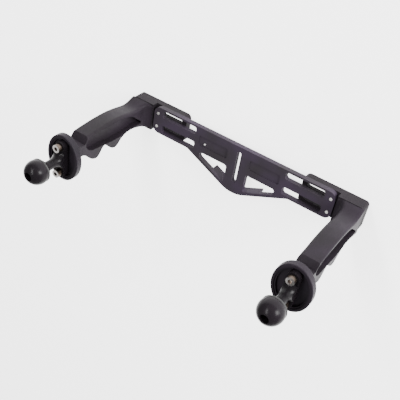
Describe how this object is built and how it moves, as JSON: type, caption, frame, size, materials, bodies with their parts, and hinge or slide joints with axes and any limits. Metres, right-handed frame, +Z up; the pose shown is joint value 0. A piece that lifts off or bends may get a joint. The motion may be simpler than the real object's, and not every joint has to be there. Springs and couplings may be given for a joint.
{
  "type": "underwater camera tray",
  "caption": "Dual-handle camera tray with a slotted centre plate, width-adjustable end brackets, finger grips, oval hand stops and ball mounts for lights.",
  "frame": {"origin": "middle of the footprint, on the surface that the brackets and the foot lip rest on", "axes": "+X along the tray to the right handle, +Y toward the plate's straight edge, +Z up the handles"},
  "size_m": [0.308, 0.0628, 0.1849],
  "materials": {
    "plate": "black anodised, satin",
    "bracket": "black anodised, satin",
    "grip": "moulded, satin",
    "hand_stop": "matte",
    "ball": "black anodised, matte",
    "rubber_ring": "matte",
    "stainless": "bright stainless"
  },
  "bodies": {
    "tray": {"centre_plate": "plate", "locating_pin": "stainless", "right_upper_clamp_screw": "stainless", "right_upper_clamp_washer": "stainless", "right_lower_clamp_screw": "stainless", "right_lower_clamp_washer": "stainless", "left_upper_clamp_screw": "stainless", "left_upper_clamp_washer": "stainless", "left_lower_clamp_screw": "stainless", "left_lower_clamp_washer": "stainless"},
    "right_arm": {"right_bracket": "bracket", "right_grip": "grip", "right_hand_stop": "hand_stop", "right_ball_mount": "ball", "right_ball_ring": "rubber_ring", "right_upper_grip_bolt": "stainless", "right_lower_grip_bolt": "stainless", "right_stop_bolt": "stainless", "right_upper_ball_screw": "stainless", "right_lower_ball_screw": "stainless"},
    "left_arm": {"left_bracket": "bracket", "left_grip": "grip", "left_hand_stop": "hand_stop", "left_ball_mount": "ball", "left_ball_ring": "rubber_ring", "left_upper_grip_bolt": "stainless", "left_lower_grip_bolt": "stainless", "left_stop_bolt": "stainless", "left_upper_ball_screw": "stainless", "left_lower_ball_screw": "stainless"}
  },
  "joints": [
    {"name": "right_slide", "type": "slide", "parent": "tray", "child": "right_arm", "axis": [1, 0, 0], "range_m": [0, 0.0265]},
    {"name": "left_slide", "type": "slide", "parent": "tray", "child": "left_arm", "axis": [-1, 0, 0], "range_m": [0, 0.0265]}
  ]
}
